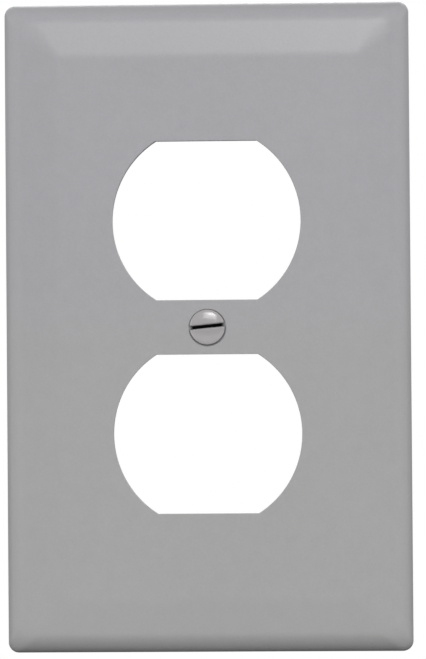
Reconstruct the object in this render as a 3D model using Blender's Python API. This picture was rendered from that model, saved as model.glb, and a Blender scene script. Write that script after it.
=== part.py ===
"""Duplex wall plate: the one-gang cover of a twin-outlet receptacle, with its mounting screw.

The plate is one injection-moulded shell. Its flat face slopes and then rolls down to a rim that
rests on the wall. It has two outlet openings and a countersunk screw hole, and on its back are a
collar round each opening, a boss round the screw hole and stiffening ribs. The screw is a slotted
oval-head machine screw, size 6-32 by half an inch, which reaches through the plate to the
receptacle's strap.

Units are metres. +Z is up, +X is right and the front faces -Y. The origin is on the screw's axis,
in the plane of the wall. Heights are measured from the wall towards the front, along -Y. Insets
are measured in from the plate's outline.
"""

import math

import bmesh
import bpy
from mathutils import Vector

# Outline of the plate, seen from the front
PLATE_WIDTH = 0.0744
PLATE_HEIGHT = 0.1191
PLATE_DEPTH = 0.0061

# Border: a side wall with a little draft, a rounded edge, then a shallow bevel up to the flat face
SIDE_TILT = math.radians(87)
EDGE_RADIUS = 0.0049
EDGE_STEPS = 7
BEVEL_TILT = math.radians(9)
BEVEL_WIDTH = 0.00975
CREASE_BLEND = 0.0006
CREASE_STEPS = 2

# Radius of the plan corners: at the outline, at the foot of the bevel and round the flat face
OUTLINE_CORNER = 0.0019
BEVEL_CORNER = 0.0030
FACE_CORNER = 0.0008
CORNER_STEPS = 6

# Thickness of the shell and of the rim that rests on the wall
FACE_THICKNESS = 0.0022
RIM_WIDTH = 0.0020
RIM_WALL_HEIGHT = 0.0016
RIM_WALL_DRAFT = math.radians(2)
HAUNCH_WIDTH = 0.0012

# Outlet openings: circles with a flat at the top and the bottom
OPENING_SPACING = 0.0389
OPENING_RADIUS = 0.01715
OPENING_HALF_HEIGHT = 0.014475
OPENING_DRAFT = math.radians(3)
OPENING_STEPS = 16
COLLAR_WALL = 0.0009
COLLAR_DEPTH = 0.0016

# Upright ribs on the back, one at each side of the openings
RIB_WIDTH = 0.0010
RIB_DEPTH = 0.0012
RIB_X = 0.0230
RIB_HALF_LENGTH = 0.0460

# Screw hole: an 82 degree countersink, a clearance hole and the boss round it
COUNTERSINK_HALF_ANGLE = math.radians(41)
COUNTERSINK_RADIUS = 0.0035
SCREW_HOLE_RADIUS = 0.00205
BOSS_RADIUS = 0.0034
BOSS_TOE_HEIGHT = 0.0018
HOLE_STEPS = 48

# Screw: head
HEAD_RADIUS = 0.0032
HEAD_GAP = 0.0003
CROWN_HEIGHT = 0.00065
CROWN_STEPS = 5
SLOT_WIDTH = 0.00095
SLOT_DEPTH = 0.00120
SLOT_RISE = math.radians(5.3)

# Screw: 6-32 thread, half an inch long below the head's widest plane
SCREW_LENGTH = 0.0127
THREAD_PITCH = 0.0254 / 32
THREAD_CREST_RADIUS = 0.0017525
THREAD_ROOT_RADIUS = 0.00130
BLANK_RADIUS = 0.00150
NECK_LENGTH = 0.0009
THREAD_FADE = 0.0008
TIP_RADIUS = 0.00115
TIP_HALF_ANGLE = math.radians(45)
THREAD_COLUMNS = 24

# How far a cutter or an added lump runs past the surface that it meets
OVERSHOOT = 0.0005

FACE_BACK = PLATE_DEPTH - FACE_THICKNESS
SMOOTH_ANGLE = math.radians(30)


def remove_objects():
    for item in list(bpy.data.objects):
        bpy.data.objects.remove(item, do_unlink=True)


def make_material(name, colour, roughness, metallic):
    material = bpy.data.materials.new(name)
    material.use_nodes = True
    shader = material.node_tree.nodes["Principled BSDF"]
    shader.inputs["Base Color"].default_value = (*colour, 1.0)
    shader.inputs["Roughness"].default_value = roughness
    shader.inputs["Metallic"].default_value = metallic
    return material


def rounded_rectangle(half_width, half_height, radius):
    """Outline of a rectangle with round corners, as plan points (x, z)."""
    points = []
    for corner, (side_x, side_z) in enumerate(((1, 1), (-1, 1), (-1, -1), (1, -1))):
        centre_x = side_x * (half_width - radius)
        centre_z = side_z * (half_height - radius)
        for step in range(CORNER_STEPS + 1):
            angle = 0.5 * math.pi * (corner + step / CORNER_STEPS)
            points.append((centre_x + radius * math.cos(angle), centre_z + radius * math.sin(angle)))
    return points


def circle(radius, steps):
    """Outline of a circle round the screw's axis, as plan points (x, z)."""
    angles = [2.0 * math.pi * step / steps for step in range(steps)]
    return [(radius * math.cos(angle), radius * math.sin(angle)) for angle in angles]


def opening_outline(centre_z, grow):
    """Outline of an outlet opening, grown outwards by a distance, as plan points (x, z)."""
    radius = OPENING_RADIUS + grow
    reach = math.asin((OPENING_HALF_HEIGHT + grow) / radius)
    points = []
    for side in (0.0, math.pi):
        for step in range(OPENING_STEPS + 1):
            angle = side - reach + 2.0 * reach * step / OPENING_STEPS
            points.append((radius * math.cos(angle), centre_z + radius * math.sin(angle)))
    return points


def box_outline(centre_x, centre_z, half_width, half_height):
    corners = ((-1, -1), (1, -1), (1, 1), (-1, 1))
    return [(centre_x + side_x * half_width, centre_z + side_z * half_height) for side_x, side_z in corners]


def stack_rings(rings):
    """Closed mesh through rings of (outline, height); the first and the last ring are capped."""
    mesh = bmesh.new()
    loops = []
    for outline, height in rings:
        loops.append([mesh.verts.new((x, -height, z)) for x, z in outline])
    for loop, following in zip(loops, loops[1:]):
        count = len(loop)
        for index in range(count):
            after = (index + 1) % count
            mesh.faces.new((loop[index], loop[after], following[after], following[index]))
    mesh.faces.new(loops[0])
    mesh.faces.new(loops[-1])
    return mesh


def finish_mesh(mesh, name):
    """Turn the faces outwards, shade the round parts smooth and give the mesh its name."""
    bmesh.ops.recalc_face_normals(mesh, faces=mesh.faces[:])
    data = bpy.data.meshes.new(name)
    mesh.to_mesh(data)
    mesh.free()
    data.shade_smooth()
    data.set_sharp_from_angle(angle=SMOOTH_ANGLE)
    return data


def add_object(name, data, parent, material):
    item = bpy.data.objects.new(name, data)
    data.materials.append(material)
    bpy.context.scene.collection.objects.link(item)
    item.parent = parent
    return item


def add_helper(collection, name, rings):
    """A closed shape that a Boolean adds to the plate or cuts from it."""
    item = bpy.data.objects.new(name, finish_mesh(stack_rings(rings), name))
    collection.objects.link(item)
    item.hide_render = True
    item.display_type = "WIRE"
    return item


def helper_collection(name):
    collection = bpy.data.collections.new(name)
    bpy.context.scene.collection.children.link(collection)
    return collection


def add_boolean(item, operation, collection):
    modifier = item.modifiers.new(collection.name, "BOOLEAN")
    modifier.operation = operation
    modifier.operand_type = "COLLECTION"
    modifier.collection = collection
    modifier.solver = "EXACT"


def crease_points():
    """Insets and heights of the soft crease between the bevel and the flat face."""
    points = []
    for step in range(CREASE_STEPS + 1):
        share = step / CREASE_STEPS
        inset = BEVEL_WIDTH + CREASE_BLEND * (2.0 * share - 1.0)
        sink = CREASE_BLEND * math.tan(BEVEL_TILT) * (1.0 - share) ** 2
        points.append((inset, PLATE_DEPTH - sink))
    return points


def border_profile():
    """Insets and heights from the wall up the side, round the edge and up the bevel to the face."""
    arc_inset = EDGE_RADIUS * (math.sin(SIDE_TILT) - math.sin(BEVEL_TILT))
    arc_rise = EDGE_RADIUS * (math.cos(BEVEL_TILT) - math.cos(SIDE_TILT))
    bevel_rise = (BEVEL_WIDTH - arc_inset) * math.tan(BEVEL_TILT)
    side_height = PLATE_DEPTH - arc_rise - bevel_rise
    side_inset = side_height / math.tan(SIDE_TILT)
    profile = [(0.0, 0.0)]
    for step in range(EDGE_STEPS + 1):
        tilt = SIDE_TILT + (BEVEL_TILT - SIDE_TILT) * step / EDGE_STEPS
        inset = side_inset + EDGE_RADIUS * (math.sin(SIDE_TILT) - math.sin(tilt))
        height = side_height + EDGE_RADIUS * (math.cos(tilt) - math.cos(SIDE_TILT))
        profile.append((inset, height))
    return profile + crease_points()


def hollow_profile():
    """Insets and heights of the back's hollow, from the rim up to the back of the flat face."""
    wall_inset = RIM_WIDTH + RIM_WALL_HEIGHT * math.tan(RIM_WALL_DRAFT)
    haunch_inset = wall_inset + HAUNCH_WIDTH
    haunch_height = FACE_BACK - (BEVEL_WIDTH - haunch_inset) * math.tan(BEVEL_TILT)
    return [
        (RIM_WIDTH, 0.0),
        (wall_inset, RIM_WALL_HEIGHT),
        (haunch_inset, haunch_height),
        (BEVEL_WIDTH, FACE_BACK),
    ]


def corner_radius(inset):
    """Plan corner radius: small at the outline, fullest at the bevel's foot, small at the face."""
    bevel_foot = EDGE_RADIUS * (1.0 - math.sin(BEVEL_TILT))
    if inset < bevel_foot:
        share = 1.0 - inset / bevel_foot
        return BEVEL_CORNER + (OUTLINE_CORNER - BEVEL_CORNER) * share ** 2
    share = min(1.0, (inset - bevel_foot) / (BEVEL_WIDTH - bevel_foot))
    return BEVEL_CORNER + (FACE_CORNER - BEVEL_CORNER) * share ** 2


def plate_ring(inset, height):
    half_width = 0.5 * PLATE_WIDTH - inset
    half_height = 0.5 * PLATE_HEIGHT - inset
    return rounded_rectangle(half_width, half_height, corner_radius(inset)), height


def add_back_lumps(collection):
    """Collars, boss and ribs, which start inside the face and hang down from its back."""
    root = FACE_BACK + OVERSHOOT
    for name, side in (("upper", 1), ("lower", -1)):
        outline = opening_outline(0.5 * side * OPENING_SPACING, COLLAR_WALL)
        add_helper(collection, name + "_collar", [(outline, FACE_BACK - COLLAR_DEPTH), (outline, root)])
    boss = circle(BOSS_RADIUS, HOLE_STEPS)
    add_helper(collection, "screw_boss", [(boss, BOSS_TOE_HEIGHT), (boss, root)])
    for name, side in (("right", 1), ("left", -1)):
        outline = box_outline(side * RIB_X, 0.0, 0.5 * RIB_WIDTH, RIB_HALF_LENGTH)
        add_helper(collection, name + "_rib", [(outline, FACE_BACK - RIB_DEPTH), (outline, root)])


def add_plate_cutters(collection):
    """The two openings, which widen towards the back, and the countersunk screw hole."""
    front = PLATE_DEPTH + OVERSHOOT
    spread = PLATE_DEPTH * math.tan(OPENING_DRAFT)
    for name, side in (("upper", 1), ("lower", -1)):
        centre_z = 0.5 * side * OPENING_SPACING
        mouth = opening_outline(centre_z, 0.0)
        back = opening_outline(centre_z, spread)
        add_helper(collection, name + "_opening", [(back, 0.0), (mouth, PLATE_DEPTH), (mouth, front)])
    slope = math.tan(COUNTERSINK_HALF_ANGLE)
    mouth = circle(COUNTERSINK_RADIUS + OVERSHOOT * slope, HOLE_STEPS)
    bore = circle(SCREW_HOLE_RADIUS, HOLE_STEPS)
    cone_foot = PLATE_DEPTH - (COUNTERSINK_RADIUS - SCREW_HOLE_RADIUS) / slope
    add_helper(collection, "screw_hole", [(bore, -OVERSHOOT), (bore, cone_foot), (mouth, front)])


def build_plate(parent):
    profile = list(reversed(border_profile())) + hollow_profile()
    rings = [plate_ring(inset, height) for inset, height in profile]
    material = make_material("grey_nylon", (0.37, 0.37, 0.38), 0.45, 0.0)
    plate = add_object("wall_plate", finish_mesh(stack_rings(rings), "wall_plate"), parent, material)
    lumps = helper_collection("back_lumps")
    add_back_lumps(lumps)
    add_boolean(plate, "UNION", lumps)
    cutters = helper_collection("plate_cutters")
    add_plate_cutters(cutters)
    add_boolean(plate, "DIFFERENCE", cutters)
    return plate


def crown_profile():
    """Radii and depths of the head's domed top, a flattened ellipse, from near its middle outwards.

    Depths are measured along +Y from the head's widest plane, where the dome ends.
    """
    angles = [0.5 * math.pi * step / CROWN_STEPS for step in range(1, CROWN_STEPS + 1)]
    return [(HEAD_RADIUS * math.sin(angle), -CROWN_HEIGHT * math.cos(angle)) for angle in angles]


def cone_depth():
    """Depth at which the cone under the head has narrowed to the plain neck."""
    return (HEAD_RADIUS - BLANK_RADIUS) / math.tan(COUNTERSINK_HALF_ANGLE)


def thread_start():
    """Depth at which the neck ends and the thread begins."""
    return cone_depth() + NECK_LENGTH


def head_profile():
    """Radii and depths from the middle of the crown down the cone and the neck to the thread."""
    return crown_profile() + [(BLANK_RADIUS, cone_depth()), (BLANK_RADIUS, thread_start())]


def thread_shape():
    """Share of one pitch and radius for the start and end of the root flat and of the crest flat."""
    return (
        (0.00, THREAD_ROOT_RADIUS),
        (0.22, THREAD_ROOT_RADIUS),
        (0.54, THREAD_CREST_RADIUS),
        (0.68, THREAD_CREST_RADIUS),
    )


def thread_radius(radius, depth):
    """Thread radius with its run-out below the neck and the chamfer at the tip."""
    fade = min(1.0, (depth - thread_start()) / THREAD_FADE)
    faded = BLANK_RADIUS + (radius - BLANK_RADIUS) * fade
    chamfer = TIP_RADIUS + (SCREW_LENGTH - depth) * math.tan(TIP_HALF_ANGLE)
    return min(faded, chamfer)


def thread_column(column):
    """Radii and depths down one side of the thread; the helix lowers each column a little more."""
    start = thread_start()
    turns = math.ceil((SCREW_LENGTH - start) / THREAD_PITCH) + 2
    lead = column / THREAD_COLUMNS - 1.0
    points = []
    for turn in range(turns):
        for share, radius in thread_shape():
            depth = start + THREAD_PITCH * (turn + share + lead)
            depth = min(max(depth, start), SCREW_LENGTH)
            points.append((thread_radius(radius, depth), depth))
    return points


def screw_vertex(mesh, column, radius, depth):
    """A right-hand thread turns clockwise, seen from the head, as it goes deeper."""
    angle = -2.0 * math.pi * column / THREAD_COLUMNS
    return mesh.verts.new((radius * math.cos(angle), depth, radius * math.sin(angle)))


def join_columns(mesh, column, following, shift):
    """Faces between two neighbouring columns of vertices; the second is read a few rows later."""
    for row in range(len(column) - 1 - shift):
        corners = (column[row], column[row + 1], following[row + 1 + shift], following[row + shift])
        mesh.faces.new(corners)


def screw_mesh():
    mesh = bmesh.new()
    head = []
    thread = []
    for column in range(THREAD_COLUMNS):
        head.append([screw_vertex(mesh, column, radius, depth) for radius, depth in head_profile()])
        thread.append([screw_vertex(mesh, column, radius, depth) for radius, depth in thread_column(column)])
    for column in range(THREAD_COLUMNS):
        following = (column + 1) % THREAD_COLUMNS
        turn_shift = len(thread_shape()) if following == 0 else 0
        join_columns(mesh, head[column], head[following], 0)
        join_columns(mesh, thread[column], thread[following], turn_shift)
    mesh.faces.new([column[0] for column in head])
    mesh.faces.new([column[-1] for column in thread])
    bmesh.ops.remove_doubles(mesh, verts=mesh.verts[:], dist=1e-7)
    bmesh.ops.dissolve_degenerate(mesh, edges=mesh.edges[:], dist=1e-7)
    return mesh


def add_slot_cutter(parent):
    """Box that cuts the driver slot across the whole head."""
    outline = box_outline(0.0, 0.0, HEAD_RADIUS + OVERSHOOT, 0.5 * SLOT_WIDTH)
    rings = [(outline, CROWN_HEIGHT - SLOT_DEPTH), (outline, CROWN_HEIGHT + OVERSHOOT)]
    collection = helper_collection("screw_cutters")
    cutter = add_helper(collection, "driver_slot", rings)
    cutter.parent = parent
    return collection


def build_screw(parent):
    """The screw's origin is on its axis, in the head's widest plane."""
    material = make_material("painted_steel", (0.40, 0.40, 0.41), 0.35, 0.6)
    screw = add_object("plate_screw", finish_mesh(screw_mesh(), "plate_screw"), parent, material)
    mouth_gap = HEAD_GAP / math.cos(COUNTERSINK_HALF_ANGLE)
    seat = (HEAD_RADIUS - (COUNTERSINK_RADIUS - mouth_gap)) / math.tan(COUNTERSINK_HALF_ANGLE)
    screw.location = Vector((0.0, -(PLATE_DEPTH + seat), 0.0))
    screw.rotation_euler = (0.0, -SLOT_RISE, 0.0)
    add_boolean(screw, "DIFFERENCE", add_slot_cutter(screw))
    return screw


def main():
    remove_objects()
    assembly = bpy.data.objects.new("duplex_wall_plate", None)
    bpy.context.scene.collection.objects.link(assembly)
    build_plate(assembly)
    build_screw(assembly)


main()
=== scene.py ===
"""Looks of the duplex wall plate and its screw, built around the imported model.

Each CAD node is replaced by a finer piece of the same shape: the plate with its rounded edges and the
moulding marks on its back, and the screw with its slot's worn edges and its rolled thread. Units are
metres; +Z is up and the front faces -Y. Heights are measured from the wall towards the front, and
insets from the plate's outline inwards.
"""

import math

import bmesh
import bpy
from mathutils import Matrix, Vector


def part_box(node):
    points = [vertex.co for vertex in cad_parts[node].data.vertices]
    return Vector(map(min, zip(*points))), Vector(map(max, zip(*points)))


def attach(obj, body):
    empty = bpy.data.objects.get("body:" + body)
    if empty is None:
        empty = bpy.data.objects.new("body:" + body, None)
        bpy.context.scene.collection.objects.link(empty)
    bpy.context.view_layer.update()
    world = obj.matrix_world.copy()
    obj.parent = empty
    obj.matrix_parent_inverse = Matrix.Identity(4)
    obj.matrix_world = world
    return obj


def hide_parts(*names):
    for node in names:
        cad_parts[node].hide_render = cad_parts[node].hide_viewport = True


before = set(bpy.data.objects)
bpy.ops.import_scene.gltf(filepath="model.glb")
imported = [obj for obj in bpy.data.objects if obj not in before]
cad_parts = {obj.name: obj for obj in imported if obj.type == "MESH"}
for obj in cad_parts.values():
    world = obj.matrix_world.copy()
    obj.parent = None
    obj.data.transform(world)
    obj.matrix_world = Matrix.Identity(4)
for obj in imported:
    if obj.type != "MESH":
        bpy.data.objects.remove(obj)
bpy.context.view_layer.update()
PLATE_LOW, PLATE_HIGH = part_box("wall_plate")
SCREW_LOW, SCREW_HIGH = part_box("plate_screw")

MM = 0.001

# Plate: sizes from the frame
HALF_WIDTH = PLATE_HIGH.x
HALF_HEIGHT = PLATE_HIGH.z
DEPTH = -PLATE_LOW.y

# Plate: border, as in the CAD part
SIDE_TILT = math.radians(87)
EDGE_RADIUS = 4.9 * MM
BEVEL_TILT = math.radians(9)
BEVEL_WIDTH = 9.75 * MM
CREASE_RADIUS = 8.5 * MM
OUTLINE_CORNER = 1.9 * MM
BEVEL_CORNER = 3.0 * MM
FACE_CORNER = 0.8 * MM
CORNER_STEPS = 14

# Plate: shell, rim and hollow
SHELL = 2.2 * MM
RIM_WIDTH = 2.0 * MM
RIM_EDGE = 0.15 * MM
RIM_WALL_HEIGHT = 1.6 * MM
RIM_WALL_DRAFT = math.radians(2)
HAUNCH_WIDTH = 1.2 * MM
HAUNCH_RADIUS = 0.8 * MM
CEILING = DEPTH - SHELL

# Plate: outlet openings and the collars behind them
OPENING_SPACING = 38.9 * MM
OPENING_RADIUS = 17.15 * MM
OPENING_HALF_HEIGHT = 14.475 * MM
OPENING_DRAFT = math.radians(3)
OPENING_STEPS = 44
MOUTH_EDGE = 0.14 * MM
COLLAR_WALL = 0.9 * MM
COLLAR_TOE = CEILING - 1.6 * MM
COLLAR_DRAFT = 0.05 * MM

# Plate: screw hole, a little off the screw's axis, and boss
COUNTERSINK_HALF_ANGLE = math.radians(41)
COUNTERSINK_RADIUS = 3.46 * MM
COUNTERSINK_EDGE = 0.5 * MOUTH_EDGE
SCREW_HOLE_RADIUS = 2.05 * MM
SCREW_HOLE_CENTRE = (0.04 * MM, -0.13 * MM)
BOSS_RADIUS = 3.4 * MM
BOSS_TOE = 1.8 * MM
HOLE_STEPS = 96

# Plate: ribs, and the marks that the mould leaves on the back; a cap is how far the outline of the
# flat end shrinks before it's filled
RIB_X = 23.0 * MM
RIB_HALF_WIDTH = 0.5 * MM
RIB_HALF_LENGTH = 46.0 * MM
RIB_CORNER_SHARE = 0.8
RIB_TOE = CEILING - 1.2 * MM
RIB_CAP = -0.6 * RIB_HALF_WIDTH
PIN_MARK_RADIUS = 1.75 * MM
PIN_MARK_DEPTH = 0.09 * MM
PIN_MARK_CAP = -0.3 * PIN_MARK_RADIUS
PIN_MARK_STEPS = 40
PIN_MARKS = ((12.5, 43.5), (-12.5, 43.5), (12.5, -43.5), (-12.5, -43.5), (20.6, 0.0), (-20.6, 0.0))
GATE_RADIUS = 0.9 * MM
GATE_HEIGHT = 0.3 * MM
GATE_CAP = -0.4 * GATE_RADIUS
GATE_STEPS = 32
GATE_Z = 40.5 * MM

# Rounding of small features, and the flat strip kept beside each rounded edge
TOE_EDGE = 0.2 * MM
LOW_LUMP_EDGE_SHARE = 0.4
ROOT_FILLET = 0.15 * MM
SUPPORT = 0.08 * MM
FRONT_SUPPORT = 0.3 * MM

# Screw: 6-32 by half an inch, measured from the head's widest plane; shares are of the thread's pitch
SCREW_LENGTH = 12.7 * MM
HEAD_PLANE = SCREW_LENGTH - SCREW_HIGH.y
HEAD_RADIUS = 3.2 * MM
CROWN_HEIGHT = -SCREW_LOW.y - HEAD_PLANE
CROWN_REACH = math.radians(65)
CROWN_STEPS = 12
HEAD_EDGE = 0.16 * MM
CONE_EDGE = 0.03 * MM
SLOT_WIDTH = 0.55 * MM
SLOT_FLOOR_WIDTH = 0.45 * MM
SLOT_DEPTH = 1.2 * MM
SLOT_LIP = 0.38 * MM
SLOT_LIP_STEPS = 7
SLOT_LIP_SWEEP = math.radians(80)
SLOT_RISE = math.radians(5.6)
SLOT_OFFSET = 0.14 * MM
SLOT_STATIONS = 36
BLANK_RADIUS = 1.5 * MM
NECK_LENGTH = 0.9 * MM
NECK_FILLET = 0.35 * MM
THREAD_PITCH = 25.4 / 32 * MM
THREAD_CREST = 1.7525 * MM
THREAD_ROOT = 1.30 * MM
THREAD_CREST_SHARE = 0.07
THREAD_ROOT_SHARE = 0.11
THREAD_CREST_ROUND = 0.05 * MM
THREAD_ROOT_ROUND = 0.07 * MM
THREAD_FADE = 0.8 * MM
TIP_RADIUS = 1.15 * MM
TIP_EDGE = 0.15 * MM
THREAD_COLUMNS = 72

# Meshing
ARC_STEP = math.radians(5)
THREAD_ARC_STEP = math.radians(20)
FEWEST_ARC_STEPS = 3
SMALLEST_TURN = math.radians(0.5)
SMOOTH_ANGLE = math.radians(31)
COINCIDENT = 0.0002 * MM


# ---------------------------------------------------------------- outlines and paths


def rounded_rectangle(centre_x, centre_z, half_width, half_height, radius):
    """Outline of a rectangle with round corners, as plan points (x, z)."""
    points = []
    for corner, (side_x, side_z) in enumerate(((1, 1), (-1, 1), (-1, -1), (1, -1))):
        corner_x = centre_x + side_x * (half_width - radius)
        corner_z = centre_z + side_z * (half_height - radius)
        for step in range(CORNER_STEPS + 1):
            angle = 0.5 * math.pi * (corner + step / CORNER_STEPS)
            points.append((corner_x + radius * math.cos(angle), corner_z + radius * math.sin(angle)))
    return points


def corner_radius(inset):
    """Plan corner radius: small at the outline, fullest at the bevel's foot, small at the face."""
    bevel_foot = EDGE_RADIUS * (1.0 - math.sin(BEVEL_TILT))
    if inset < bevel_foot:
        share = 1.0 - inset / bevel_foot
        return BEVEL_CORNER + (OUTLINE_CORNER - BEVEL_CORNER) * share ** 2
    share = min(1.0, (inset - bevel_foot) / (BEVEL_WIDTH - bevel_foot))
    return BEVEL_CORNER + (FACE_CORNER - BEVEL_CORNER) * share ** 2


def plate_outline(inset):
    return rounded_rectangle(0.0, 0.0, HALF_WIDTH - inset, HALF_HEIGHT - inset, corner_radius(inset))


def circle(centre_x, centre_z, radius, steps):
    angles = [2.0 * math.pi * step / steps for step in range(steps)]
    return [(centre_x + radius * math.cos(a), centre_z + radius * math.sin(a)) for a in angles]


def opening_outline(centre_z, grow):
    """Outline of an outlet opening, a circle with two flats, grown outwards by a distance."""
    radius = OPENING_RADIUS + grow
    reach = math.asin((OPENING_HALF_HEIGHT + grow) / radius)
    points = []
    for side in (0.0, math.pi):
        for step in range(OPENING_STEPS + 1):
            angle = side - reach + 2.0 * reach * step / OPENING_STEPS
            points.append((radius * math.cos(angle), centre_z + radius * math.sin(angle)))
    return points


def rib_outline(centre_x, grow):
    half_width = RIB_HALF_WIDTH + grow
    half_length = RIB_HALF_LENGTH + grow
    return rounded_rectangle(centre_x, 0.0, half_width, half_length, RIB_CORNER_SHARE * half_width)


def screw_hole_outline(radius):
    return circle(*SCREW_HOLE_CENTRE, radius, HOLE_STEPS)


def round_corners(path, arc_step=ARC_STEP):
    """Points along a path of (u, v, radius), with an arc of that radius in place of each corner."""
    points = [Vector(path[0][:2])]
    for before, here, after in zip(path, path[1:], path[2:]):
        corner = Vector(here[:2])
        back = (Vector(before[:2]) - corner).normalized()
        onward = (Vector(after[:2]) - corner).normalized()
        turn = math.pi - back.angle(onward)
        if here[2] <= 0.0 or turn < SMALLEST_TURN:
            points.append(corner)
            continue
        reach = here[2] * math.tan(0.5 * turn)
        steps = max(FEWEST_ARC_STEPS, round(turn / arc_step))
        centre = corner + (back + onward).normalized() * here[2] / math.cos(0.5 * turn)
        start = corner + back * reach - centre
        sense = 1.0 if back.cross(onward) < 0.0 else -1.0
        for step in range(steps + 1):
            spin = Matrix.Rotation(sense * turn * step / steps, 2)
            points.append(centre + spin @ start)
    points.append(Vector(path[-1][:2]))
    return [(point.x, point.y) for point in points]


# ---------------------------------------------------------------- mesh building


def add_ring(mesh, outline, height):
    return [mesh.verts.new((x, -height, z)) for x, z in outline]


def bridge(mesh, ring, following):
    """Faces between two rings of the same number of vertices."""
    count = len(ring)
    for index in range(count):
        after = (index + 1) % count
        mesh.faces.new((ring[index], ring[after], following[after], following[index]))


def sweep(mesh, outline_at, path):
    """Rings at every (offset, height) of a path, bridged in turn; returns the first and the last."""
    rings = [add_ring(mesh, outline_at(offset), height) for offset, height in path]
    for ring, following in zip(rings, rings[1:]):
        bridge(mesh, ring, following)
    return rings[0], rings[-1]


def fill_flat(mesh, rings):
    """Flat face inside the first ring and outside the others."""
    edges = []
    for ring in rings:
        for vertex, after in zip(ring, ring[1:] + ring[:1]):
            edges.append(mesh.edges.get((vertex, after)))
    bmesh.ops.triangle_fill(mesh, use_beauty=True, use_dissolve=False, edges=edges)


def finish_mesh(mesh, name):
    bmesh.ops.recalc_face_normals(mesh, faces=mesh.faces[:])
    data = bpy.data.meshes.new(name)
    mesh.to_mesh(data)
    mesh.free()
    data.shade_smooth()
    data.set_sharp_from_angle(angle=SMOOTH_ANGLE)
    return data


def new_object(name, data):
    item = bpy.data.objects.new(name, data)
    bpy.context.scene.collection.objects.link(item)
    return item


# ---------------------------------------------------------------- the plate


def border_path():
    """(inset, height) from the flat face over the edge, round the rim and up to the ceiling."""
    bevel_slope = math.tan(BEVEL_TILT)
    side_slope = math.tan(SIDE_TILT)
    corner_inset = (DEPTH - BEVEL_WIDTH * bevel_slope) / (side_slope - bevel_slope)
    wall_inset = RIM_WIDTH + RIM_WALL_HEIGHT * math.tan(RIM_WALL_DRAFT)
    haunch_inset = wall_inset + HAUNCH_WIDTH
    haunch_height = CEILING - (BEVEL_WIDTH - haunch_inset) * bevel_slope
    crease_reach = CREASE_RADIUS * math.tan(0.5 * BEVEL_TILT)
    flat_inset = BEVEL_WIDTH + crease_reach + FRONT_SUPPORT
    return round_corners([
        (flat_inset, DEPTH, 0.0),
        (BEVEL_WIDTH, DEPTH, CREASE_RADIUS),
        (corner_inset, corner_inset * side_slope, EDGE_RADIUS),
        (0.0, 0.0, RIM_EDGE),
        (RIM_WIDTH, 0.0, RIM_EDGE),
        (wall_inset, RIM_WALL_HEIGHT, HAUNCH_RADIUS),
        (haunch_inset, haunch_height, HAUNCH_RADIUS),
        (BEVEL_WIDTH, CEILING, CREASE_RADIUS),
        (flat_inset, CEILING, 0.0),
    ])


def opening_path():
    """(growth, height) from the face, through the opening and round its collar to the ceiling."""
    toe_grow = (DEPTH - COLLAR_TOE) * math.tan(OPENING_DRAFT)
    return round_corners([
        (MOUTH_EDGE + FRONT_SUPPORT, DEPTH, 0.0),
        (0.0, DEPTH, MOUTH_EDGE),
        (toe_grow, COLLAR_TOE, TOE_EDGE),
        (COLLAR_WALL - COLLAR_DRAFT, COLLAR_TOE, TOE_EDGE),
        (COLLAR_WALL, CEILING, ROOT_FILLET),
        (COLLAR_WALL + ROOT_FILLET + SUPPORT, CEILING, 0.0),
    ])


def screw_hole_path():
    """(radius, height) from the face, down the countersink and round the boss to the ceiling."""
    cone_foot = DEPTH - (COUNTERSINK_RADIUS - SCREW_HOLE_RADIUS) / math.tan(COUNTERSINK_HALF_ANGLE)
    return round_corners([
        (COUNTERSINK_RADIUS + FRONT_SUPPORT, DEPTH, 0.0),
        (COUNTERSINK_RADIUS, DEPTH, COUNTERSINK_EDGE),
        (SCREW_HOLE_RADIUS, cone_foot, ROOT_FILLET),
        (SCREW_HOLE_RADIUS, BOSS_TOE, TOE_EDGE),
        (BOSS_RADIUS - COLLAR_DRAFT, BOSS_TOE, TOE_EDGE),
        (BOSS_RADIUS, CEILING, ROOT_FILLET),
        (BOSS_RADIUS + ROOT_FILLET + SUPPORT, CEILING, 0.0),
    ])


def lump_path(toe, cap_offset):
    """(offset, height) of a lump or a dent on the ceiling, ending on its small flat cap."""
    edge = min(TOE_EDGE, LOW_LUMP_EDGE_SHARE * abs(CEILING - toe))
    return round_corners([
        (ROOT_FILLET + SUPPORT, CEILING, 0.0),
        (0.0, CEILING, edge),
        (-COLLAR_DRAFT, toe, edge),
        (cap_offset, toe, 0.0),
    ])


def add_lump(mesh, outline_at, toe, cap_offset):
    """A rib, a pin mark or the gate's stub; returns its ring on the ceiling."""
    root, cap = sweep(mesh, outline_at, lump_path(toe, cap_offset))
    mesh.faces.new(cap)
    return root


def plate_mesh():
    mesh = bmesh.new()
    face, ceiling = sweep(mesh, plate_outline, border_path())
    front_rings = [face]
    back_rings = [ceiling]
    for side in (1, -1):
        centre_z = 0.5 * side * OPENING_SPACING
        mouth, root = sweep(mesh, lambda grow: opening_outline(centre_z, grow), opening_path())
        front_rings.append(mouth)
        back_rings.append(root)
    mouth, root = sweep(mesh, screw_hole_outline, screw_hole_path())
    front_rings.append(mouth)
    back_rings.append(root)
    for side in (1, -1):
        back_rings.append(add_lump(mesh, lambda grow: rib_outline(side * RIB_X, grow), RIB_TOE, RIB_CAP))
    for mark_x, mark_z in PIN_MARKS:
        back_rings.append(add_pin_mark(mesh, mark_x * MM, mark_z * MM))
    back_rings.append(add_gate(mesh))
    fill_flat(mesh, front_rings)
    fill_flat(mesh, back_rings)
    return mesh


def add_pin_mark(mesh, centre_x, centre_z):
    """Shallow round dent that an ejector pin leaves."""
    def outline_at(grow):
        return circle(centre_x, centre_z, PIN_MARK_RADIUS + grow, PIN_MARK_STEPS)
    return add_lump(mesh, outline_at, CEILING + PIN_MARK_DEPTH, PIN_MARK_CAP)


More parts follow.
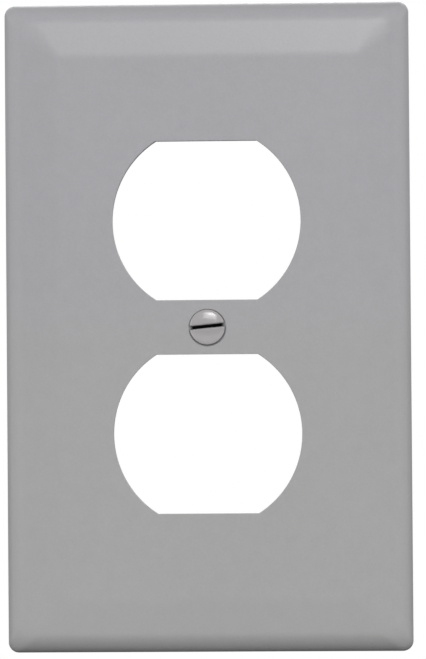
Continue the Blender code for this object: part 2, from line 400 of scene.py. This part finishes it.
def add_gate(mesh):
    """Stub where the plastic entered the mould."""
    def outline_at(grow):
        return circle(0.0, GATE_Z, GATE_RADIUS + grow, GATE_STEPS)
    return add_lump(mesh, outline_at, CEILING - GATE_HEIGHT, GATE_CAP)


# ---------------------------------------------------------------- the screw


def crown_rise(distance):
    """Height of the domed head above its widest plane, at a distance from the axis."""
    share = min(1.0, distance / HEAD_RADIUS)
    return CROWN_HEIGHT * math.sqrt(1.0 - share * share)


def cone_depth():
    return (HEAD_RADIUS - BLANK_RADIUS) / math.tan(COUNTERSINK_HALF_ANGLE)


def thread_start():
    return cone_depth() + NECK_LENGTH


def head_path():
    """(radius, depth) from the middle of the crown, round the rim and down the cone and the neck."""
    angles = [CROWN_REACH * step / CROWN_STEPS for step in range(1, CROWN_STEPS + 1)]
    crown = [(HEAD_RADIUS * math.sin(angle), -CROWN_HEIGHT * math.cos(angle)) for angle in angles]
    slope = CROWN_HEIGHT / HEAD_RADIUS * math.tan(CROWN_REACH)
    end_radius, end_depth = crown[-1]
    rim_top = end_depth + (HEAD_RADIUS - end_radius) * slope
    below = round_corners([
        (end_radius, end_depth, 0.0),
        (HEAD_RADIUS, rim_top, HEAD_EDGE),
        (HEAD_RADIUS, 0.0, CONE_EDGE),
        (BLANK_RADIUS, cone_depth(), NECK_FILLET),
        (BLANK_RADIUS, thread_start(), 0.0),
    ])
    return crown[:-1] + below


def thread_shape():
    """(distance along one pitch, radius) of the thread's rounded root, flanks and crest.

    The last point is left out, because it's the first one of the next pitch.
    """
    pitch = THREAD_PITCH
    return round_corners([
        (0.0, THREAD_ROOT, 0.0),
        (THREAD_ROOT_SHARE * pitch, THREAD_ROOT, THREAD_ROOT_ROUND),
        ((0.5 - THREAD_CREST_SHARE) * pitch, THREAD_CREST, THREAD_CREST_ROUND),
        ((0.5 + THREAD_CREST_SHARE) * pitch, THREAD_CREST, THREAD_CREST_ROUND),
        ((1.0 - THREAD_ROOT_SHARE) * pitch, THREAD_ROOT, THREAD_ROOT_ROUND),
        (pitch, THREAD_ROOT, 0.0),
    ], THREAD_ARC_STEP)[:-1]


def thread_radius(radius, depth):
    """Thread radius with its run-out below the neck and the chamfer at the tip."""
    fade = min(1.0, (depth - thread_start()) / THREAD_FADE)
    faded = BLANK_RADIUS + (radius - BLANK_RADIUS) * fade
    chamfer = TIP_RADIUS + (SCREW_LENGTH - TIP_EDGE - depth)
    return min(faded, chamfer)


def thread_column(column, shape):
    """(radius, depth) down one side of the thread; the helix lowers each column a little more."""
    start = thread_start()
    end = SCREW_LENGTH - TIP_EDGE
    turns = math.ceil((end - start) / THREAD_PITCH) + 2
    lead = THREAD_PITCH * (column / THREAD_COLUMNS - 1.0)
    points = []
    for turn in range(turns):
        for along, radius in shape:
            depth = min(max(start + THREAD_PITCH * turn + along + lead, start), end)
            points.append((thread_radius(radius, depth), depth))
    return points


def screw_vertices(mesh, column, points):
    """A right-hand thread turns clockwise, seen from the head, as it goes deeper."""
    angle = -2.0 * math.pi * column / THREAD_COLUMNS
    across = math.cos(angle)
    up = math.sin(angle)
    return [mesh.verts.new((radius * across, depth, radius * up)) for radius, depth in points]


def join_columns(mesh, column, following, shift):
    """Faces between neighbouring columns of vertices; the second is read a few rows later."""
    for row in range(len(column) - 1 - shift):
        lower = following[row + 1 + shift]
        mesh.faces.new((column[row], column[row + 1], lower, following[row + shift]))


def screw_mesh():
    mesh = bmesh.new()
    shape = thread_shape()
    tip = [(TIP_RADIUS, SCREW_LENGTH - TIP_EDGE), (TIP_RADIUS - TIP_EDGE, SCREW_LENGTH)]
    head = []
    thread = []
    end = []
    for column in range(THREAD_COLUMNS):
        head.append(screw_vertices(mesh, column, head_path()))
        thread.append(screw_vertices(mesh, column, thread_column(column, shape)))
        end.append(screw_vertices(mesh, column, tip))
    for column in range(THREAD_COLUMNS):
        following = (column + 1) % THREAD_COLUMNS
        turn_shift = len(shape) if following == 0 else 0
        join_columns(mesh, head[column], head[following], 0)
        join_columns(mesh, thread[column], thread[following], turn_shift)
        join_columns(mesh, end[column], end[following], 0)
    mesh.faces.new([column[0] for column in head])
    mesh.faces.new([column[-1] for column in end])
    bmesh.ops.remove_doubles(mesh, verts=mesh.verts[:], dist=COINCIDENT)
    bmesh.ops.dissolve_degenerate(mesh, edges=mesh.edges[:], dist=COINCIDENT)
    return mesh


def slot_section(along):
    """(across, rise) of the slot's cutter at a station along the slot, with thickly rounded lips."""
    half = 0.5 * SLOT_WIDTH
    lip_reach = SLOT_LIP * (1.0 - math.cos(SLOT_LIP_SWEEP))
    surface = crown_rise(math.hypot(along, half + lip_reach))
    lip_foot = surface - SLOT_LIP * math.sin(SLOT_LIP_SWEEP)
    side = [(0.5 * SLOT_FLOOR_WIDTH, CROWN_HEIGHT - SLOT_DEPTH)]
    for step in range(SLOT_LIP_STEPS + 1):
        angle = SLOT_LIP_SWEEP * step / SLOT_LIP_STEPS
        side.append((half + SLOT_LIP * (1.0 - math.cos(angle)), lip_foot + SLOT_LIP * math.sin(angle)))
    side.append((half + 2.0 * SLOT_LIP, surface + SLOT_LIP))
    return [(-across, rise) for across, rise in reversed(side)] + side


def slot_cutter():
    """Closed shape that cuts the driver slot, lofted along it so that its flare follows the crown."""
    mesh = bmesh.new()
    reach = HEAD_RADIUS + SLOT_LIP
    rings = []
    for station in range(SLOT_STATIONS + 1):
        along = reach * math.sin(math.pi * (station / SLOT_STATIONS - 0.5))
        section = slot_section(along)
        rings.append([mesh.verts.new((along, -rise, across + SLOT_OFFSET)) for across, rise in section])
    for ring, following in zip(rings, rings[1:]):
        bridge(mesh, ring, following)
    mesh.faces.new(rings[0])
    mesh.faces.new(rings[-1])
    return mesh


def cut(item, cutter_mesh):
    """Cut a closed mesh out of an object and keep the result as the object's own mesh."""
    cutter = new_object("cutter", finish_mesh(cutter_mesh, "cutter"))
    modifier = item.modifiers.new("cut", "BOOLEAN")
    modifier.operation = "DIFFERENCE"
    modifier.object = cutter
    modifier.solver = "EXACT"
    graph = bpy.context.evaluated_depsgraph_get()
    result = bpy.data.meshes.new_from_object(item.evaluated_get(graph), depsgraph=graph)
    item.modifiers.clear()
    item.data = result
    bpy.data.objects.remove(cutter, do_unlink=True)
    merge_coincident(result)
    result.set_sharp_from_angle(angle=SMOOTH_ANGLE)


def merge_coincident(data):
    """Remove the faces without area that a cut leaves where its points coincide."""
    mesh = bmesh.new()
    mesh.from_mesh(data)
    bmesh.ops.remove_doubles(mesh, verts=mesh.verts[:], dist=COINCIDENT)
    bmesh.ops.dissolve_degenerate(mesh, edges=mesh.edges[:], dist=COINCIDENT)
    mesh.to_mesh(data)
    mesh.free()


# ---------------------------------------------------------------- materials

# The part of a noise's values that is stretched over a range of tones or of roughness
MIDDLE = (0.3, 0.7)
WIDE_MIDDLE = (0.25, 0.75)

# Nylon: colours of the lower half and of the upper half, the upper one tinted by painted bluish light
# from above, tones as factors, gloss as ranges of roughness, and bumps as (height, strength)
NYLON_LOWER = (0.373, 0.371, 0.372, 1.0)
NYLON_UPPER_PAINTED_BLUISH_LIGHT = (0.373, 0.368, 0.387, 1.0)
PAINTED_BLUISH_LIGHT_BLEND = (-20.0 * MM, 25.0 * MM)
NYLON_SPECULAR = 0.36
CLOUD_SIZE = 38.0 * MM
CLOUD_TONES = (0.990, 1.008)
FLECK_SIZE = 2.2 * MM
FLECK_TONES = (0.985, 1.012)
GRAIN_SIZE = 0.42 * MM
GRAIN_TONES = (0.975, 1.02)
FRONT_GLOSS = (0.31, 0.37)
BACK_GLOSS = (0.30, 0.42)
BACK_FACING = (0.05, 0.35)
SWELL_SIZE = 7.0 * MM
SWELL_BUMP = (0.03 * MM, 0.5)
EROSION_BUMP = (0.017 * MM, 0.9)
MILLED_SIZE = 6.0 * MM
MILLED_BUMP = (0.006 * MM, 0.8)

# Screw: finishes, as above
ENAMEL_DARK = (0.358, 0.343, 0.348, 1.0)
ENAMEL_LIGHT = (0.378, 0.362, 0.367, 1.0)
ENAMEL_TONE_SIZE = 0.9 * MM
ENAMEL_GLOSS = (0.14, 0.20)
ENAMEL_SPECULAR = 0.32
COAT_ROUGHNESS = 0.16
ZINC_DARK = (0.50, 0.51, 0.53, 1.0)
ZINC_LIGHT = (0.68, 0.68, 0.67, 1.0)
ZINC_TONE_SIZE = 0.5 * MM
ZINC_GLOSS = (0.30, 0.45)
# The slot's inside: a near-black painted shade with little shine, where the slot's depth lies in shadow
SLOT_PAINTED_SHADE_TONE = 0.005
SLOT_ROUGHNESS = 0.8
SLOT_SPECULAR = 0.05
SCUFF_SIZE = 0.30 * MM
PEEL_SIZE = 0.9 * MM
PEEL_BUMP = (0.010 * MM, 0.5)
SCUFF_BUMP = (0.004 * MM, 0.5)

# Screw: where each finish ends, as depths below the head's widest plane and distances from a slot wall
# Depths where the slot's painted shade begins below the lips and where it ends
SLOT_PAINTED_SHADE_FROM = (-0.50 * MM, -0.25 * MM)
SLOT_PAINTED_SHADE_ENDS = (0.60 * MM, 0.70 * MM)
SLOT_WALL_FADE = 0.03 * MM
CHIPS_END = (0.05 * MM, 0.20 * MM)
CHIPPED_SCUFF = (0.50, 0.58)
SPRAY_ENDS = (0.35 * MM, 0.60 * MM)
SPRAY_RAGGEDNESS = 0.35 * MM

# Floor
PAPER_TONES = (0.86, 0.90)
PAPER_ROUGHNESS = 0.9
FIBRE_SIZE = 3.0 * MM
FIBRE_BUMP = (0.1 * MM, 0.4)


def add_node(tree, kind, inputs=None, **settings):
    """A shader node with its settings; an input is a number, a colour or another node's output."""
    node = tree.nodes.new(kind)
    for name, value in settings.items():
        setattr(node, name, value)
    for name, value in (inputs or {}).items():
        if isinstance(value, bpy.types.NodeSocket):
            tree.links.new(value, node.inputs[name])
        else:
            node.inputs[name].default_value = value
    return node


def noise(tree, place, size, detail=2.0, roughness=0.5):
    """Noise from 0 to 1 whose features are about as big as size."""
    inputs = {"Vector": place, "Scale": 1.0 / size, "Detail": detail, "Roughness": roughness}
    return add_node(tree, "ShaderNodeTexNoise", inputs).outputs["Fac"]


def between(tree, value, low, high, to_low=0.0, to_high=1.0):
    """Value mapped smoothly from low..high to to_low..to_high, and held there outside."""
    inputs = {"Value": value, "From Min": low, "From Max": high, "To Min": to_low, "To Max": to_high}
    node = add_node(tree, "ShaderNodeMapRange", inputs, interpolation_type="SMOOTHSTEP")
    return node.outputs["Result"]


def calc(tree, operation, first, second=0.0):
    return add_node(tree, "ShaderNodeMath", {0: first, 1: second}, operation=operation).outputs[0]


def mix_colour(tree, share, first, second):
    """Of the mix node's sockets, inputs 6 and 7 and output 2 are the ones for colours."""
    return add_node(tree, "ShaderNodeMix", {0: share, 6: first, 7: second}, data_type="RGBA").outputs[2]


def mix_value(tree, share, first, second):
    """Of the mix node's sockets, inputs 2 and 3 and output 0 are the ones for numbers."""
    return add_node(tree, "ShaderNodeMix", {0: share, 2: first, 3: second}).outputs[0]


def grey(level):
    return (level, level, level, 1.0)


def dimmed(tree, colour, tone):
    return add_node(tree, "ShaderNodeVectorMath", {0: colour, "Scale": tone}, operation="SCALE").outputs[0]


def bump(tree, height, distance, strength, below=None):
    inputs = {"Height": height, "Distance": distance, "Strength": strength}
    if below is not None:
        inputs["Normal"] = below
    return add_node(tree, "ShaderNodeBump", inputs).outputs["Normal"]


def start_material(name):
    material = bpy.data.materials.new(name)
    material.use_nodes = True
    tree = material.node_tree
    place = tree.nodes.new("ShaderNodeTexCoord")
    return material, tree, tree.nodes["Principled BSDF"], place


def nylon_colour(tree, place, grain, flecks):
    """Grey with faint clouds, flecks and grain; painted bluish light from above tints the upper half."""
    height = add_node(tree, "ShaderNodeSeparateXYZ", {"Vector": place}).outputs["Z"]
    # painted bluish light: the colour shifts to the upper half's bluer tint towards the top
    painted_bluish_light = between(tree, height, *PAINTED_BLUISH_LIGHT_BLEND)
    body = mix_colour(tree, painted_bluish_light, NYLON_LOWER, NYLON_UPPER_PAINTED_BLUISH_LIGHT)
    clouds = noise(tree, place, CLOUD_SIZE, detail=3.0)
    tone = between(tree, clouds, *MIDDLE, *CLOUD_TONES)
    tone = calc(tree, "MULTIPLY", tone, between(tree, flecks, *MIDDLE, *FLECK_TONES))
    tone = calc(tree, "MULTIPLY", tone, between(tree, grain, *WIDE_MIDDLE, *GRAIN_TONES))
    return dimmed(tree, body, tone)


def nylon_material():
    """Grey nylon: a fine spark-eroded texture in front, and the mould core's milled finish behind."""
    material, tree, shader, coordinates = start_material("grey_nylon_moulding")
    place = coordinates.outputs["Object"]
    facing = add_node(tree, "ShaderNodeSeparateXYZ", {"Vector": coordinates.outputs["Normal"]})
    back = between(tree, facing.outputs["Y"], *BACK_FACING)
    grain = noise(tree, place, GRAIN_SIZE, detail=3.0, roughness=0.6)
    flecks = noise(tree, place, FLECK_SIZE, detail=4.0, roughness=0.65)
    tree.links.new(nylon_colour(tree, place, grain, flecks), shader.inputs["Base Color"])
    front_gloss = between(tree, flecks, *WIDE_MIDDLE, *FRONT_GLOSS)
    back_gloss = between(tree, flecks, *WIDE_MIDDLE, *BACK_GLOSS)
    tree.links.new(mix_value(tree, back, front_gloss, back_gloss), shader.inputs["Roughness"])
    swell = bump(tree, noise(tree, place, SWELL_SIZE), *SWELL_BUMP)
    erosion = calc(tree, "MULTIPLY", grain, calc(tree, "SUBTRACT", 1.0, back))
    eroded = bump(tree, erosion, *EROSION_BUMP, swell)
    lines = calc(tree, "MULTIPLY", milled_lines(tree, place), back)
    milled = bump(tree, lines, *MILLED_BUMP, eroded)
    tree.links.new(milled, shader.inputs["Normal"])
    shader.inputs["Specular IOR Level"].default_value = NYLON_SPECULAR
    return material


def milled_lines(tree, place):
    """Parallel cutter lines across the plate's back, a little uneven."""
    inputs = {
        "Vector": place,
        "Scale": 1.0 / MILLED_SIZE,
        "Distortion": 0.6,
        "Detail": 2.0,
        "Detail Scale": 3.0,
    }
    wave = add_node(tree, "ShaderNodeTexWave", inputs, wave_type="BANDS", bands_direction="DIAGONAL")
    return wave.outputs["Fac"]


def screw_masks(tree, place, scuff):
    """Where the screw is enamelled, and where the slot's inside gets a painted shade; each from 0 to 1."""
    axes = add_node(tree, "ShaderNodeSeparateXYZ", {"Vector": place})
    depth = axes.outputs["Y"]
    across = calc(tree, "SUBTRACT", axes.outputs["Z"], SLOT_OFFSET)
    from_wall = calc(tree, "SUBTRACT", calc(tree, "ABSOLUTE", across), 0.5 * SLOT_WIDTH)
    in_head = between(tree, depth, *SLOT_PAINTED_SHADE_ENDS, 1.0, 0.0)
    between_walls = between(tree, from_wall, 0.0, SLOT_WALL_FADE, 1.0, 0.0)
    below_lips = between(tree, depth, *SLOT_PAINTED_SHADE_FROM)
    # painted shade: the slot's inside, below its lips and within the head
    slot = calc(tree, "MULTIPLY", calc(tree, "MULTIPLY", between_walls, in_head), below_lips)
    near_lip = between(tree, calc(tree, "ABSOLUTE", from_wall), *CHIPS_END, 1.0, 0.0)
    chips = calc(tree, "MULTIPLY", between(tree, scuff, *CHIPPED_SCUFF), near_lip)
    ragged = calc(tree, "ADD", depth, calc(tree, "MULTIPLY", scuff, SPRAY_RAGGEDNESS))
    sprayed = between(tree, ragged, *SPRAY_ENDS, 1.0, 0.0)
    # chips bare the zinc; the slot's inside takes painted shade in place of enamel
    chips_and_slot_shade = calc(tree, "MAXIMUM", chips, slot)
    return calc(tree, "MULTIPLY", sprayed, calc(tree, "SUBTRACT", 1.0, chips_and_slot_shade)), slot


def screw_material():
    """Zinc-plated steel whose head is enamelled grey, with chips along the slot's lips and a near-black
    painted shade inside the slot.
    """
    material, tree, shader, coordinates = start_material("enamelled_screw")
    place = coordinates.outputs["Object"]
    scuff = noise(tree, place, SCUFF_SIZE, detail=4.0, roughness=0.7)
    enamel_tone = noise(tree, place, ENAMEL_TONE_SIZE, detail=3.0)
    zinc_tone = noise(tree, place, ZINC_TONE_SIZE, detail=4.0, roughness=0.65)
    paint, slot = screw_masks(tree, place, scuff)
    enamel = mix_colour(tree, enamel_tone, ENAMEL_DARK, ENAMEL_LIGHT)
    zinc = mix_colour(tree, zinc_tone, ZINC_DARK, ZINC_LIGHT)
    # painted shade: the slot's inside turns near black, without the zinc's shine
    zinc_and_slot_shade = mix_colour(tree, slot, zinc, grey(SLOT_PAINTED_SHADE_TONE))
    tree.links.new(mix_colour(tree, paint, zinc_and_slot_shade, enamel), shader.inputs["Base Color"])
    metal = calc(tree, "SUBTRACT", 1.0, calc(tree, "MAXIMUM", paint, slot))
    tree.links.new(metal, shader.inputs["Metallic"])
    enamel_gloss = between(tree, enamel_tone, *MIDDLE, *ENAMEL_GLOSS)
    zinc_gloss = between(tree, zinc_tone, *MIDDLE, *ZINC_GLOSS)
    gloss = mix_value(tree, paint, zinc_gloss, enamel_gloss)
    tree.links.new(mix_value(tree, slot, gloss, SLOT_ROUGHNESS), shader.inputs["Roughness"])
    specular = mix_value(tree, slot, ENAMEL_SPECULAR, SLOT_SPECULAR)
    tree.links.new(specular, shader.inputs["Specular IOR Level"])
    tree.links.new(paint, shader.inputs["Coat Weight"])
    shader.inputs["Coat Roughness"].default_value = COAT_ROUGHNESS
    peel = bump(tree, noise(tree, place, PEEL_SIZE), *PEEL_BUMP)
    worn = bump(tree, scuff, *SCUFF_BUMP, peel)
    tree.links.new(worn, shader.inputs["Normal"])
    return material


def floor_material():
    """Pale seamless paper."""
    material, tree, shader, coordinates = start_material("pale_paper")
    place = coordinates.outputs["Object"]
    fibre = noise(tree, place, FIBRE_SIZE, detail=4.0)
    darker, lighter = PAPER_TONES
    tree.links.new(mix_colour(tree, fibre, grey(darker), grey(lighter)), shader.inputs["Base Color"])
    shader.inputs["Roughness"].default_value = PAPER_ROUGHNESS
    tree.links.new(bump(tree, fibre, *FIBRE_BUMP), shader.inputs["Normal"])
    return material


# ---------------------------------------------------------------- pieces


def build_plate():
    piece = new_object("plate_moulding", finish_mesh(plate_mesh(), "plate_moulding"))
    piece.data.materials.append(nylon_material())
    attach(piece, "plate")
    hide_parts("wall_plate")


def build_screw():
    """The piece's origin is on its axis, in the head's widest plane, and the slot lies along its X."""
    piece = new_object("slotted_screw", finish_mesh(screw_mesh(), "slotted_screw"))
    cut(piece, slot_cutter())
    piece.data.materials.append(screw_material())
    piece.location = (0.0, -HEAD_PLANE, 0.0)
    piece.rotation_euler = (0.0, -SLOT_RISE, 0.0)
    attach(piece, "screw")
    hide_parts("plate_screw")


# ---------------------------------------------------------------- studio

FLOOR_HEIGHT = -0.40
FLOOR_SIZE = 5.8

# Camera: its lens is in millimetres
CAMERA_DISTANCE = 0.6
CAMERA_YAW = math.radians(2.15)
CAMERA_PITCH = math.radians(-0.72)
CAMERA_ROLL = math.radians(0.44)
CAMERA_AIM = Vector((0.00095, -0.003, -0.00041))
CAMERA_LENS = 179.09
CAMERA_CLIP = (0.05, 20.0)

# Softboxes: azimuth (from the front towards +X) and elevation in degrees, width, height and radiance
LIGHT_DISTANCE = 3.0
SOFTBOXES = {
    "key": (4, 25, 1.20, 1.20, 4.0),
    "key_core": (9.5, 28, 0.80, 0.46, 8.2),
    "left_side": (-77, 3, 3.7, 3.2, 0.86),
    "right_side": (77, 3, 3.7, 3.2, 0.81),
    "low_front": (0, -28, 7.0, 1.8, 1.2),
    "back_fill": (180, 28, 2.6, 1.8, 1.6),
}

# Sky: the glow rises between two elevations, and fades again overhead to a share of itself
SKY_GLOW = 0.63
SKY_LOW = math.radians(-20)
SKY_HIGH = math.radians(17)
OVERHEAD_GLOW = 0.7
OVERHEAD_START = math.radians(35)
OVERHEAD_END = math.radians(80)


def direction(azimuth, elevation):
    """Unit vector from the object; azimuth 0 is in front and 90 at the right, in degrees."""
    around = math.radians(azimuth)
    up = math.radians(elevation)
    return Vector((math.sin(around) * math.cos(up), -math.cos(around) * math.cos(up), math.sin(up)))


def build_floor():
    mesh = bmesh.new()
    bmesh.ops.create_grid(mesh, x_segments=1, y_segments=1, size=0.5 * FLOOR_SIZE)
    floor = new_object("floor", finish_mesh(mesh, "floor"))
    floor.location.z = FLOOR_HEIGHT
    floor.data.materials.append(floor_material())
    floor.visible_diffuse = False
    floor.visible_glossy = False
    floor.visible_shadow = False


def add_softbox(name, azimuth, elevation, width, height, radiance):
    """A rectangular light that faces the object and isn't seen itself."""
    lamp = bpy.data.lights.new(name, "AREA")
    lamp.shape = "RECTANGLE"
    lamp.size = width
    lamp.size_y = height
    lamp.energy = math.pi * width * height * radiance
    item = new_object(name, lamp)
    item.location = direction(azimuth, elevation) * LIGHT_DISTANCE
    item.rotation_euler = (-item.location).to_track_quat("-Z", "Y").to_euler()
    item.visible_camera = False


def build_world():
    """White behind the object; as light, a glow from above, weaker overhead and none from below."""
    world = bpy.data.worlds.new("studio")
    world.use_nodes = True
    tree = world.node_tree
    tree.nodes.clear()
    place = tree.nodes.new("ShaderNodeTexCoord")
    upward = add_node(tree, "ShaderNodeSeparateXYZ", {"Vector": place.outputs["Generated"]}).outputs["Z"]
    rising = between(tree, upward, math.sin(SKY_LOW), math.sin(SKY_HIGH), 0.0, SKY_GLOW)
    overhead = between(tree, upward, math.sin(OVERHEAD_START), math.sin(OVERHEAD_END), 1.0, OVERHEAD_GLOW)
    strength = calc(tree, "MULTIPLY", rising, overhead)
    glow = add_node(tree, "ShaderNodeBackground", {"Color": grey(1.0), "Strength": strength})
    seen = add_node(tree, "ShaderNodeBackground", {"Color": grey(1.0), "Strength": 1.0})
    path = tree.nodes.new("ShaderNodeLightPath")
    inputs = {0: path.outputs["Is Camera Ray"], 1: glow.outputs[0], 2: seen.outputs[0]}
    mixed = add_node(tree, "ShaderNodeMixShader", inputs)
    add_node(tree, "ShaderNodeOutputWorld", {"Surface": mixed.outputs[0]})
    bpy.context.scene.world = world


def build_camera():
    lens = bpy.data.cameras.new("camera")
    lens.lens = CAMERA_LENS
    lens.clip_start, lens.clip_end = CAMERA_CLIP
    camera = new_object("camera", lens)
    back = direction(math.degrees(CAMERA_YAW), math.degrees(CAMERA_PITCH))
    turned = (-back).to_track_quat("-Z", "Y").to_matrix().to_4x4() @ Matrix.Rotation(-CAMERA_ROLL, 4, "Z")
    camera.matrix_world = Matrix.Translation(CAMERA_AIM + back * CAMERA_DISTANCE) @ turned
    bpy.context.scene.camera = camera


def build_studio():
    scene = bpy.context.scene
    scene.view_settings.view_transform = "Standard"
    build_world()
    build_floor()
    for name, settings in SOFTBOXES.items():
        add_softbox(name, *settings)
    build_camera()


build_plate()
build_screw()
build_studio()
